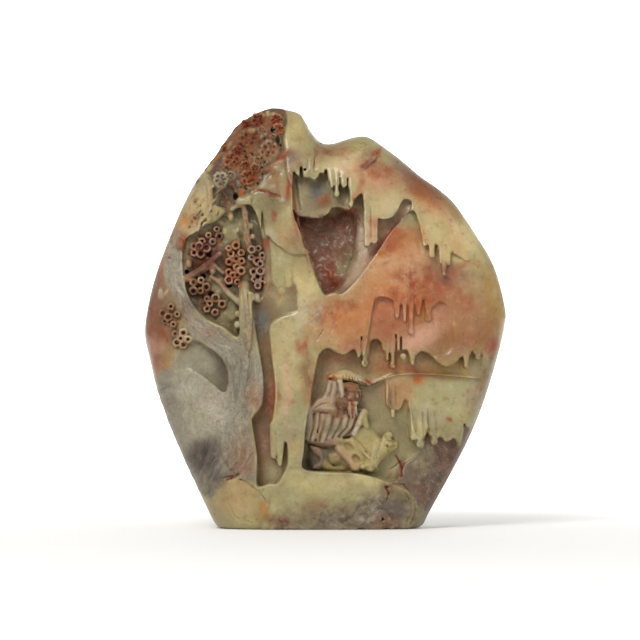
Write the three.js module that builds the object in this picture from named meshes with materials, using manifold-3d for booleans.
// A polished soapstone boulder, cut flat below, with a winter landscape carved in layers into its front.
// Millimetres, +Z up. The carved front looks toward -Y. The origin is the middle of the underside.
// Every place on the front is x, z and a depth: how far it lies behind the gentle dome that the uncarved
// front would be. A layer is an outline on the front and a floor depth; each lower layer is cut deeper or
// comes forward again, so that the ledges overlap like shingles.

import * as THREE from 'three';
import { mergeVertices } from 'three/addons/utils/BufferGeometryUtils.js';
import Module from 'manifold-3d';

const wasm = await Module();
wasm.setup();

// Driving dimensions
const HALF_THICKNESS = 30;
const CENTRE_Z = 100;
const DOME = 0.45;
const OVAL_SIDE = 88;
const OVAL_ABOVE = 104;
const OVAL_BELOW = 130;
const OVAL_FADE = 3;
const EDGE_POWER = 2.6;
const BULGE_POWER = 2.2;
const FLORET_RADIUS = 1.9;
const FLORET_HEIGHT = 1.8;
const ROSETTE_RADIUS = 3.7;
const DRIP_WIDTH = 3;
const TRUNK_RADIUS = 3.2;
const BRANCH_RADIUS = 1.5;
const TWIG_RADIUS = 1.3;
const HAT_WIDTH = 21.5;
const FOLD_RADIUS = 1.1;
const LEG_RADIUS = 1.6;
// How finely the boulder and the floors are faceted: rings of the boulder, from the centre to the rim, spans
// of its outline between two given points, and the size of a floor's cells.
const RING_STEPS = [0.5, 0.8, 0.95];
const OUTLINE_SPANS = 2;
const FLOOR_CELL = 20;
const FLOOR_MARGIN = 3;
// How far a plug reaches in front of the stone, and how long it is. Its lean turns about the front's crown.
const PLUG_FRONT = 0.7 * HALF_THICKNESS;
const PLUG_LENGTH = 2.4 * HALF_THICKNESS;
const LEAN_FROM = 0.9 * HALF_THICKNESS;

// The boulder seen from the front, clockwise from the left of the summit. It runs on below the flat cut.
const BOULDER_OUTLINE = [
  [-26.5, 210.2], [-17.5, 208.8], [-12.5, 207], [-9.5, 203], [-7, 198.5], [-2.5, 193.2], [3, 192.2],
  [12.5, 195], [19, 196], [24.5, 194], [37.5, 184.5], [47, 176.5], [57.5, 169], [65, 162], [75, 147.5],
  [84.5, 131], [90, 111.5], [90, 100.5], [84.5, 79], [78, 59], [70.6, 42], [61, 24], [52, 8], [45.5, -4],
  [25, -26], [0, -30], [-25, -28], [-46, -16], [-56, 4], [-62.5, 17.5], [-72.5, 39], [-82.5, 64],
  [-88, 85.5], [-90.2, 100], [-85.5, 124], [-75.5, 151], [-65.5, 172], [-56, 185], [-47.5, 197],
  [-37.5, 206],
];

// Edges that two neighbouring layers share, each from left to right.
const RIDGE = [[-1.5, 118.5], [5.5, 117.5], [14, 122], [26, 138], [33.5, 149], [41.5, 157.5]];
const UPPER_SNOW_EDGE = [
  [44.5, 157.5], [46.5, 151.5], [49.5, 141], [54, 142], [58, 139.5], [62.5, 137.5], [67.5, 134.8],
  [70.5, 133], [73.5, 134], [76.5, 136.5], [79.5, 140.5], [86, 147], [104, 155],
];
const LOWER_SNOW_EDGE = [
  [-7.5, 60], [-6.5, 69], [-4, 83], [-2, 88], [1.5, 90], [6.5, 87.5], [10, 87], [14, 89.5], [16, 87],
  [20.5, 86], [22.5, 93], [25, 94.5], [27.5, 93], [29.5, 88], [37.5, 89], [40.5, 89], [44, 84],
  [45.5, 87], [48, 88.5], [51.5, 87], [54, 84.5], [58, 81.5], [61, 81], [65.5, 83.5], [68, 86],
  [77.5, 88], [81, 84], [87.5, 92], [104, 98],
];
const BAND_EDGE = [
  [-7.5, 60], [0, 62], [8, 66], [17, 72], [21.5, 71.5], [28.5, 74], [35, 76.5], [47.5, 77], [65, 76],
  [82.5, 74], [104, 71],
];
const LAST_SNOW_EDGE = [
  [30.5, 73], [31, 61], [35, 59.5], [37.5, 60.3], [39.5, 62.8], [42, 61.5], [43, 49], [47.5, 43],
  [51.5, 47], [56.5, 45.5], [59.5, 43], [63.5, 45.5], [67, 41.5], [69.5, 51], [73, 50], [76.5, 54],
  [84, 57.5], [104, 62],
];
const GROUND_EDGE = [[-11, 31], [-3.5, 29], [10, 28.5], [18.5, 27.5], [25, 26], [33.5, 23.5]];
const CORNER_ROCK = [[33.5, 23.5], [41, 19.5], [45, 14], [46, 10], [44.5, 6], [41, -4]];

const backwards = (points) => [...points].reverse();

// How deep a floor lies at x, z: depth at the place [x, z], then so much more per millimetre right and up.
const slope = (depth, [atX, atZ], right, up) => (x, z) => depth + right * (x - atX) + up * (z - atZ);

const LAYERS = [
  {
    name: 'cliff face',
    outline: [
      [-21, 187], [-19, 176], [-14, 164], [-4, 136], [-12.5, 136], [-19.5, 136.5], [-23.5, 139],
      [-31.5, 146.5], [-35, 160], [-36, 176], [-30, 184],
    ],
    floor: slope(2, [-24, 160], 0.02, -0.02),
  },
  {
    name: 'lower snow and column',
    outline: [
      [-31.5, 146.5], [-23.5, 139], [-19.5, 136.5], [-12.5, 136], [2, 136], [4, 122], ...RIDGE.slice(1),
      ...UPPER_SNOW_EDGE, [104, -12], [-30, -12],
    ],
    floor: slope(4, [0, 135], 0, 0.065),
  },
  {
    name: 'step in the broad ledge',
    outline: [
      [23.5, 109], [25, 114.5], [29, 115.5], [33, 114], [36, 112], [40, 113.5], [46, 113.5], [50, 110],
      [53, 110], [57, 113], [61, 111], [62.5, 104], [62, 88], [45, 84], [21, 80], [21.5, 94],
      [22.5, 101.5],
    ],
    floor: slope(6, [23, 108], -0.05, 0.1),
  },
  {
    name: 'smooth band',
    outline: [...LOWER_SNOW_EDGE, ...backwards(BAND_EDGE)],
    floor: slope(9, [10, 82], -0.04, 0.12),
  },
  {
    name: 'last snow ledge',
    outline: [...BAND_EDGE.slice(3), ...backwards(LAST_SNOW_EDGE), [17, 70]],
    floor: slope(8.2, [50, 76], -0.02, 0.12),
  },
  {
    name: 'purple rock',
    outline: [
      [39.5, 32.5], [42.5, 34.5], [47, 39.5], ...LAST_SNOW_EDGE.slice(7), [104, -12], [41, -12],
      ...backwards(CORNER_ROCK), [37.5, 27.5],
    ],
    floor: slope(6.5, [50, 40], 0, 0.06),
  },
  {
    name: 'travellers\' recess',
    outline: [
      ...BAND_EDGE.slice(0, 6), [30.5, 74], ...LAST_SNOW_EDGE.slice(1, 8), [47, 39.5], [42.5, 34.5],
      [39.5, 32.5], [37.5, 27.5], ...backwards(GROUND_EDGE), [-10.5, 39], [-9.5, 51.5],
    ],
    floor: slope(13.4, [-5, 50], -0.12, 0),
  },
  {
    name: 'snowy ground',
    outline: [
      [-20, 31], ...GROUND_EDGE, ...CORNER_ROCK, [41, -12], [-28, -12], [-28, 13.5], [-33.5, 20.5],
      [-31.5, 25], [-27.5, 23], [-23.5, 23.5], [-20.5, 26.5],
    ],
    floor: slope(1.5, [-15, 10], 0.045, 0.03),
  },
  {
    name: 'gap between tree and column',
    outline: [
      [-29, 145], [-27, 142.5], [-25, 122.5], [-20, 120.5], [-14.5, 122], [-13.5, 114], [-14, 108.5],
      [-21.5, 106], [-27.5, 101.5], [-27, 91.5], [-24.5, 74], [-24.5, 64], [-26.5, 51.5], [-27, 38],
      [-24, 35], [-22, 33], [-19.5, 43.5], [-18.5, 36.5], [-19.5, 30.5], [-23.5, 23.5], [-27.5, 23],
      [-33.5, 22.5], [-33.5, 36.5], [-36, 53], [-35.5, 56], [-30.5, 61.5], [-29.5, 66.5], [-30, 79],
      [-33.5, 94], [-36, 112.5], [-31.5, 113.5], [-30, 130], [-31.5, 143],
    ],
    floor: slope(9.5, [-33, 80], -0.29, 0),
  },
  {
    name: 'hollow in the crown',
    outline: [
      [-69.5, 122.5], [-67.5, 115.5], [-60.5, 106], [-50, 100.5], [-42.5, 96.5], [-41.5, 116],
      [-36, 118], [-33, 114], [-30.5, 120], [-31, 143], [-36, 160], [-44, 161], [-45, 169], [-50, 172],
      [-55, 170], [-54, 158], [-62, 149], [-70, 143], [-70.5, 130],
    ],
    floor: slope(7, [-50, 130], 0.03, 0),
  },
  {
    name: 'crescent under the crown',
    outline: [
      [-74, 87], [-65.5, 93.5], [-58.5, 91], [-52, 86], [-48.5, 79], [-48.5, 71], [-50.5, 68.5],
      [-58.5, 75], [-66, 79.5], [-76, 79],
    ],
    floor: slope(7, [-49, 75], 0.26, 0),
  },
  {
    name: 'dark rock at the foot',
    outline: [
      [-56, 46], [-51.5, 38], [-48.5, 32.5], [-44, 26.5], [-51.5, 24], [-58, 20], [-74, 20], [-84, 44],
      [-66, 48],
    ],
    floor: slope(2.6, [-52, 35], 0, 0),
  },
  {
    name: 'shelf over the cave',
    outline: [
      [-18, 176], [-12.5, 175], [-4.5, 174.5], [-2.5, 176.8], [0.5, 176], [3, 171], [9, 170],
      [12.5, 168], [14.5, 164], [18, 166], [19, 155], [14, 150], [-14, 150],
    ],
    floor: slope(7, [0, 160], 0, 0.1),
  },
  {
    name: 'slope right of the cave',
    outline: [
      [18, 166.5], [22.5, 165.5], [26, 155], [32.5, 154.5], [36, 158.5], [38, 162.5], [40.5, 164],
      [43, 162], ...backwards(RIDGE).slice(0, 5), [0, 135], [12, 158],
    ],
    floor: slope(14, [8, 135], -0.28, 0.02),
  },
  {
    name: 'cave',
    outline: [
      [-17.5, 176], [-16, 164], [-12.5, 150], [-8, 136.5], [-1.5, 118.5], [2.5, 117], [9, 121], [16, 134],
      [18, 145], [18, 154], [15, 158], [7.5, 160], [5, 159], [2, 155.5], [-2.5, 154.5], [-11, 155.5],
      [-12, 160], [-13, 175],
    ],
    floor: slope(20, [0, 150], -0.05, 0.12),
    lean: 0.22,
  },
];

// Drips that hang from a ledge: x, top, lower end, and the depth of the ledge that carries them.
const DRIPS = [
  { carrier: 1.5, places: [[-9.5, 178, 173.5], [-5, 180, 173], [3, 178, 168], [5.5, 178, 166], [9, 176, 168],
    [13, 174, 159]] },
  { carrier: 5, places: [[20.5, 168, 139], [23.2, 162, 140], [25, 158, 142]] },
  { carrier: 2, places: [[-24.7, 171, 167], [-21, 168, 161], [-22, 133, 116.5], [-18.5, 131, 120],
    [-25, 128, 121]] },
  { carrier: 1.5, places: [[50, 146, 140], [52.5, 142, 135], [58.5, 146, 126], [60.3, 142, 126.5]] },
  { carrier: 3, places: [[35.5, 113, 104.5], [39.8, 113, 103], [42.6, 115, 97.5], [46, 113, 107],
    [51.5, 113, 103]] },
  { carrier: 2, places: [[16.4, 92, 84.5], [19.5, 91, 80.5], [30.7, 92, 83.5], [33.6, 91, 79.5],
    [38.6, 92, 84.5], [43.3, 90, 81], [70.2, 88, 79.5], [75.5, 88, 84], [80, 88, 79]] },
  { carrier: 5, places: [[31.2, 74, 61.5], [33.8, 64, 56], [43.8, 62, 45], [46.5, 60, 39.5],
    [53, 51, 41.5], [57, 48, 45]] },
  { carrier: 1, places: [[-26, 50, 36], [-22.5, 46, 31.5]] },
];

// Florets, as rings cut with a hollow burr: x and z of their centres, cluster by cluster.
const FLORETS = [
  [[-80.5, 107.5], [-76.5, 110], [-73.8, 106.5], [-79.5, 103.5], [-75.5, 102], [-74.5, 97], [-70.5, 98],
    [-68, 95], [-73.5, 93], [-70, 91.5]],
  [[-65.5, 123.5], [-61, 124], [-59, 120.5], [-65.5, 118.5], [-62, 118.5], [-59, 114.5], [-54.5, 115],
    [-59, 109.5], [-51, 111.5], [-54, 108.5]],
  [[-53, 145.5], [-56.5, 146], [-54.5, 149], [-60, 143.5], [-62.5, 142.5], [-64.5, 140.5], [-59, 140],
    [-61, 137], [-64.5, 137]],
  [[-48, 140], [-44.3, 141], [-46, 137.5], [-42.8, 136], [-47.5, 135], [-44, 134.5], [-44, 130],
    [-48, 128], [-42, 127], [-47.5, 124.5], [-44, 123.5]],
  [[-37, 139], [-33.5, 139], [-36.5, 135], [-32.5, 135], [-34, 133], [-36, 128], [-33, 129], [-31.5, 125.5],
    [-35, 124.5], [-33.5, 121.5], [-34, 118]],
];
// Larger rosettes of the top cluster: x, z and size.
const ROSETTES = [
  [-34, 204.5, 1], [-25, 203, 1], [-37.5, 194, 1.15], [-29, 188.5, 1.15], [-46, 184, 1.1], [-38.5, 176, 1.1],
  [-50.5, 175, 1], [-28.5, 195.5, 0.6], [-34.5, 183, 0.7], [-41, 167.5, 0.6], [-44, 190, 0.6],
];
// Branches: their middle line as x, z and depth, and their radius.
const BRANCHES = [
  { radius: TRUNK_RADIUS, line: [[-38, 90, 3], [-39.5, 104, 3], [-39.5, 121.5, 3.5]] },
  { radius: BRANCH_RADIUS, line: [[-39.5, 119, 3.5], [-40.5, 134, 4], [-39, 148, 4], [-40.5, 162, 4]] },
  { radius: TWIG_RADIUS, line: [[-45.5, 163.5, 3.5], [-40.5, 161.5, 4], [-36, 165, 3]] },
  { radius: BRANCH_RADIUS, line: [[-56.5, 125.5, 5], [-49, 119, 4.5], [-41.5, 110.5, 4]] },
  { radius: TWIG_RADIUS, line: [[-52, 138, 7], [-58, 131, 7], [-65, 126, 7.5]] },
];

const toVector2 = ([x, z]) => new THREE.Vector2(x, z);

// A rounded closed line through the points, as the list of its own vertices.
function smoothClosed(points, perSpan) {
  const curve = new THREE.CatmullRomCurve3(
    points.map(([x, z]) => new THREE.Vector3(x, 0, z)), true, 'centripetal');
  return curve.getPoints(points.length * perSpan).slice(0, -1).map((p) => [p.x, p.z]);
}

const rim = smoothClosed(BOULDER_OUTLINE, OUTLINE_SPANS);

// The distance from the centre to the rim, in the direction of x, z.
function rimDistance(x, z) {
  const [dx, dz] = [x, z - CENTRE_Z];
  let farthest = 0;
  rim.forEach(([ax, az], i) => {
    const [bx, bz] = rim[(i + 1) % rim.length];
    const [ex, ez] = [bx - ax, bz - az];
    const turn = dx * ez - dz * ex;
    if (Math.abs(turn) < 1e-9) return;
    const along = (ax * ez - (az - CENTRE_Z) * ex) / turn;
    const across = (ax * dz - (az - CENTRE_Z) * dx) / turn;
    if (along > 0 && across >= 0 && across <= 1) farthest = Math.max(farthest, along);
  });
  return farthest * Math.hypot(dx, dz);
}

// The distance from the centre to a plain oval, in the direction of x, z. Near the middle the boulder's
// bulge follows this oval, so that the notch in the rim fades out over the front and back.
function ovalDistance(x, z) {
  const [dx, dz] = [x, z - CENTRE_Z];
  const half = dz > 0 ? OVAL_ABOVE : OVAL_BELOW;
  return Math.hypot(dx, dz) / (Math.hypot(dx / OVAL_SIDE, dz / half) || 1);
}

// The distance from the centre to the line that is so far out: 0 is the centre, 1 is the rim.
const lineDistance = (x, z, out) => {
  const share = out ** OVAL_FADE;
  return out * ((1 - share) * ovalDistance(x, z) + share * rimDistance(x, z));
};

// How far out x, z is: 0 at the centre and 1 at the rim, by halving the range.
function outwardness(x, z) {
  const distance = Math.hypot(x, z - CENTRE_Z);
  if (distance < 1e-6) return 0;
  let [low, high] = [0, 2];
  for (let i = 0; i < 24; i += 1) {
    const middle = (low + high) / 2;
    if (lineDistance(x, z, middle) < distance) low = middle;
    else high = middle;
  }
  return low;
}
const domeY = (out) => -HALF_THICKNESS * (1 - DOME * out ** 2);
const boulderY = (out) => -HALF_THICKNESS * (1 - Math.min(out, 1) ** EDGE_POWER) ** (1 / BULGE_POWER);

// Whether x, z lies inside an outline, by counting crossings.
function inside(outline, x, z) {
  let odd = false;
  outline.forEach(([ax, az], i) => {
    const [bx, bz] = outline[(i + 1) % outline.length];
    if ((az > z) !== (bz > z) && x < ax + ((bx - ax) * (z - az)) / (bz - az)) odd = !odd;
  });
  return odd;
}

// The y of the carved front at x, z, once every layer is cut.
function frontY(x, z) {
  const out = outwardness(x, z);
  const floors = LAYERS.filter((layer) => inside(layer.outline, x, z)).map((layer) => layer.floor(x, z));
  return Math.max(boulderY(out), ...floors.map((depth) => domeY(out) + depth));
}

const yAt = (x, z, depth) => domeY(outwardness(x, z)) + depth;

function toSolid(geometry) {
  const bare = geometry.clone();
  bare.deleteAttribute('normal');
  bare.deleteAttribute('uv');
  const merged = mergeVertices(bare, 1e-4);
  return new wasm.Manifold(new wasm.Mesh({
    numProp: 3,
    vertProperties: new Float32Array(merged.attributes.position.array),
    triVerts: new Uint32Array(merged.index.array),
  }));
}

// A closed body from rings of equal length between two end points.
function ringBody(first, rings, last) {
  const positions = [first, ...rings.flat(), last].flat();
  const count = rings[0].length;
  const end = 1 + rings.length * count;
  const index = [];
  for (let i = 0; i < count; i += 1) {
    const next = (i + 1) % count;
    index.push(0, 1 + next, 1 + i);
    rings.slice(1).forEach((_, r) => {
      const [a, b] = [1 + r * count, 1 + (r + 1) * count];
      index.push(a + i, a + next, b + i, a + next, b + next, b + i);
    });
    index.push(end, end - count + i, end - count + next);
  }
  const geometry = new THREE.BufferGeometry();
  geometry.setAttribute('position', new THREE.Float32BufferAttribute(positions, 3));
  geometry.setIndex(index);
  return toSolid(geometry);
}

function uncarvedBoulder() {
  const ring = (out, side) => rim.map(([x, z]) => {
    const share = lineDistance(x, z, out) / rimDistance(x, z);
    return [x * share, side * boulderY(out), CENTRE_Z + (z - CENTRE_Z) * share];
  });
  return ringBody(
    [0, boulderY(0), CENTRE_Z],
    [...RING_STEPS.map((s) => ring(s, 1)), ring(1, 1), ...backwards(RING_STEPS).map((s) => ring(s, -1))],
    [0, -boulderY(0), CENTRE_Z]);
}

// The stone behind a layer's floor: a slab with a domed front, wider than the boulder.
function slabBehind(layer) {
  const [xs, zs] = [0, 1].map((axis) => layer.outline.map((p) => p[axis]));
  const [left, right] = [Math.min(...xs) - FLOOR_MARGIN, Math.max(...xs) + FLOOR_MARGIN];
  const [low, high] = [Math.min(...zs) - FLOOR_MARGIN, Math.max(...zs) + FLOOR_MARGIN];
  const columns = Math.max(2, Math.round((right - left) / FLOOR_CELL));
  const rows = Math.max(2, Math.round((high - low) / FLOOR_CELL));
  const box = new THREE.BoxGeometry(right - left, 1, high - low, columns, 1, rows);
  const places = box.attributes.position;
  for (let i = 0; i < places.count; i += 1) {
    const x = places.getX(i) + (left + right) / 2;
    const z = places.getZ(i) + (low + high) / 2;
    const out = outwardness(x, z);
    const y = places.getY(i) < 0 ? domeY(Math.min(out, 1.3)) + layer.floor(x, z) : 2 * HALF_THICKNESS;
    places.setXYZ(i, x, y, z);
  }
  return toSolid(box);
}

// A straight-sided plug over an outline, from in front of the stone to its middle. It may lean sideways.
function plug(outline, lean = 0) {
  const geometry = new THREE.ExtrudeGeometry(
    new THREE.Shape(outline.map(toVector2)), { depth: PLUG_LENGTH, bevelEnabled: false });
  geometry.rotateX(Math.PI / 2);
  const places = geometry.attributes.position;
  for (let i = 0; i < places.count; i += 1) {
    const y = places.getY(i) + PLUG_FRONT;
    places.setXYZ(i, places.getX(i) - lean * (y + LEAN_FROM), y, places.getZ(i));
  }
  return toSolid(geometry);
}

// A relief body over an outline: a bevelled plate between two depths.
function plate(outline, front, back, bevel) {
  const geometry = new THREE.ExtrudeGeometry(new THREE.Shape(outline.map(toVector2)), {
    depth: back - front - bevel,
    bevelEnabled: true,
    bevelThickness: bevel,
    bevelSize: bevel,
    bevelOffset: -bevel,
    bevelSegments: 1,
  });
  geometry.rotateX(Math.PI / 2);
  const [x, z] = outline[0];
  geometry.translate(0, yAt(x, z, back), 0);
  return toSolid(geometry);
}

function ball([x, y, z], [rx, ry, rz], turn = 0) {
  const geometry = new THREE.SphereGeometry(1, 8, 5);
  geometry.rotateX(Math.PI / 2);
  geometry.scale(rx, ry, rz);
  geometry.rotateY(turn);
  geometry.translate(x, y, z);
  return toSolid(geometry);
}

// A rod with round ends between two points.
function rod(from, to, radius, sides = 6) {
  const [a, b] = [new THREE.Vector3(...from), new THREE.Vector3(...to)];
  const length = a.distanceTo(b);
  const profile = [
    [0, -radius], [0.8 * radius, -0.6 * radius], [radius, 0], [radius, length],
    [0.8 * radius, length + 0.6 * radius], [0, length + radius],
  ].map(([r, h]) => new THREE.Vector2(r, h));
  const geometry = new THREE.LatheGeometry(profile, sides);
  geometry.applyQuaternion(new THREE.Quaternion().setFromUnitVectors(
    new THREE.Vector3(0, 1, 0), b.clone().sub(a).normalize()));
  geometry.translate(a.x, a.y, a.z);
  return toSolid(geometry);
}

// A drip: a finger with a round lower end, as deep as the wall behind it is far.
function drip(x, top, bottom, carrier) {
  const radius = DRIP_WIDTH / 2;
  const front = Math.max(yAt(x, bottom, carrier), boulderY(outwardness(x, bottom))) - 0.4 * radius;
  const depth = Math.max(2 * radius, frontY(x, bottom) - front + radius);
  const upper = Math.max(yAt(x, top, carrier), boulderY(outwardness(x, top))) - 0.2 * radius;
  const profile = [
    [0, 0], [0.85 * radius, 0.5 * radius], [0.9 * radius, top - bottom], [0, top - bottom + radius],
  ].map(([r, h]) => new THREE.Vector2(r, h));
  const geometry = new THREE.LatheGeometry(profile, 5);
  geometry.rotateX(Math.PI / 2);
  geometry.scale(1, depth / (2 * radius), 1);
  const places = geometry.attributes.position;
  for (let i = 0; i < places.count; i += 1) {
    const rise = places.getZ(i) / (top - bottom);
    places.setXYZ(
      i, places.getX(i) + x, places.getY(i) + depth / 2 + front + (upper - front) * rise,
      places.getZ(i) + bottom);
  }
  return toSolid(geometry);
}

const regularOutline = (radius, sides) => Array.from({ length: sides }, (_, i) => new THREE.Vector2(
  radius * Math.cos((2 * Math.PI * i) / sides), radius * Math.sin((2 * Math.PI * i) / sides)));

// A floret: a short tube on the surface, its open end toward the front.
function floret([x, z], radius, height, sides) {
  const ring = new THREE.Shape(regularOutline(radius, sides));
  ring.holes.push(new THREE.Path(regularOutline(0.45 * radius, 4)));
  const geometry = new THREE.ExtrudeGeometry(ring, { depth: 2 * height, bevelEnabled: false });
  geometry.rotateX(Math.PI / 2);
  geometry.translate(x, frontY(x, z) + height, z);
  return toSolid(geometry);
}

function branch({ radius, line }) {
  const path = new THREE.CatmullRomCurve3(
    line.map(([x, z, depth]) => new THREE.Vector3(x, yAt(x, z, depth), z)), false, 'centripetal');
  return toSolid(new THREE.ExtrudeGeometry(new THREE.Shape(regularOutline(radius, 6)), {
    steps: 2 * line.length - 1,
    extrudePath: path,
    bevelEnabled: false,
  }));
}

// The rider: a broad straw hat, a hooded cape in slanting pleats, a sleeve and a boot.
function rider() {
  const pieces = [];
  const hatY = yAt(12, 75, 8.5);
  const hat = new THREE.LatheGeometry([
    [0, -1.2], [HAT_WIDTH / 2, -0.6], [HAT_WIDTH / 2, 0.2], [0.3 * HAT_WIDTH, 1.6], [0.12 * HAT_WIDTH, 3.2],
    [0, 3.6],
  ].map(([r, h]) => new THREE.Vector2(r, h)), 11);
  hat.rotateX(Math.PI / 2);
  hat.scale(1, 0.62, 1);
  hat.rotateX(-0.16);
  hat.rotateY(0.17);
  hat.translate(12, hatY, 74.2);
  pieces.push(toSolid(hat));
  pieces.push(ball([13, yAt(13, 67, 9), 67.5], [3.4, 3.8, 5]));
  pieces.push(rod([14.2, yAt(13, 67, 5.2), 66], [13.9, yAt(13, 67, 6), 68.5], 0.7, 5));
  pieces.push(ball([7.5, yAt(7, 67, 11), 67.5], [4, 4.5, 7.5], 0.2));
  pieces.push(ball([12.6, yAt(13, 60, 8), 60], [2, 2.2, 5]));
  pieces.push(plate([
    [-7.5, 62], [-9.3, 52], [-9.3, 44.5], [-2.5, 42], [4, 41.5], [12.5, 45.5], [15.5, 54], [16, 61],
    [10, 63.5], [4, 65.5], [-1, 65],
  ], 8, 17, 2));
  for (let i = 0; i < 6; i += 1) {
    const [top, foot] = [-5 + 3.4 * i, -8 + 3.2 * i];
    const [high, low] = [60 - 0.5 * i, 44.5 + 0.25 * i];
    pieces.push(rod([foot, yAt(foot, low, 8.2), low], [top, yAt(top, high, 8.6), high], FOLD_RADIUS, 5));
  }
  pieces.push(rod([17.5, yAt(17, 58, 8), 58], [14, yAt(14, 47, 7), 47.5], 2.4));
  pieces.push(ball([5.5, yAt(5, 36, 10), 35.5], [4.2, 4, 3]));
  return pieces;
}

// The donkey: lowered head and neck, two ears, body under the cape, and its legs.
function donkey() {
  const pieces = [plate([
    [17, 57], [21, 55.5], [25, 49], [28, 46.5], [32.5, 48.5], [34, 45], [33.5, 40], [26.5, 32.5],
    [23.5, 29.2], [17.5, 29.8], [15.8, 33], [17.5, 41], [13.5, 46.5], [14.5, 52],
  ], 7.5, 17, 1.8)];
  pieces.push(ball([31.5, yAt(31, 46, 8.5), 46.5], [2.2, 2, 3], 0.6));
  pieces.push(ball([34, yAt(34, 43, 9), 43], [2.6, 2, 1.8], -0.3));
  pieces.push(ball([3, yAt(3, 40, 13), 40], [12, 5, 4.5]));
  const legs = [
    [[-7, 41], [-2, 36]], [[-2, 36], [-3.5, 30.5]], [[6, 41], [10, 35.5]], [[10, 35.5], [15, 29.5]],
    [[13, 44], [22, 33.5]],
  ];
  legs.forEach(([[ax, az], [bx, bz]]) => {
    pieces.push(rod([ax, yAt(ax, az, 11.5), az], [bx, yAt(bx, bz, 11.5), bz], LEG_RADIUS, 5));
  });
  return pieces;
}

function carve() {
  let stone = uncarvedBoulder();
  LAYERS.forEach((layer) => {
    stone = stone.subtract(plug(layer.outline, layer.lean).subtract(slabBehind(layer)));
  });
  const added = [...rider(), ...donkey(), ...BRANCHES.map(branch)];
  DRIPS.forEach(({ carrier, places }) => {
    places.forEach(([x, top, bottom]) => added.push(drip(x, top, bottom, carrier)));
  });
  FLORETS.flat().forEach((place) => added.push(floret(place, FLORET_RADIUS, FLORET_HEIGHT, 6)));
  ROSETTES.forEach(([x, z, size]) => {
    added.push(floret([x, z], size * ROSETTE_RADIUS, size * FLORET_HEIGHT, 6));
  });
  added.forEach((piece) => {
    stone = stone.add(piece);
  });
  const below = new THREE.BoxGeometry(240, 120, 60);
  below.translate(0, 0, -30);
  return stone.subtract(toSolid(below));
}

// The geometry of a solid without the small hollows that its joins may have sealed inside it.
function toGeometry(solid) {
  const { vertProperties, triVerts } = solid.getMesh();
  const shell = Array.from({ length: vertProperties.length / 3 }, (_, i) => i);
  const root = (i) => {
    let at = i;
    while (shell[at] !== at) {
      shell[at] = shell[shell[at]];
      at = shell[at];
    }
    return at;
  };
  for (let i = 0; i < triVerts.length; i += 3) {
    shell[root(triVerts[i + 1])] = root(triVerts[i]);
    shell[root(triVerts[i + 2])] = root(triVerts[i]);
  }
  const sizes = new Map();
  triVerts.forEach((v) => sizes.set(root(v), (sizes.get(root(v)) || 0) + 1));
  const [outer] = [...sizes.entries()].sort((a, b) => b[1] - a[1])[0];
  const geometry = new THREE.BufferGeometry();
  geometry.setAttribute('position', new THREE.BufferAttribute(vertProperties, 3));
  geometry.setIndex([...triVerts].filter((v) => root(v) === outer));
  return geometry;
}

const soapstone = new THREE.MeshStandardMaterial({ color: 0xb2a582, roughness: 0.35, metalness: 0 });
const carving = new THREE.Mesh(toGeometry(carve()), soapstone);
carving.name = 'stone_carving';

const part = new THREE.Group();
part.add(carving);
export default part;
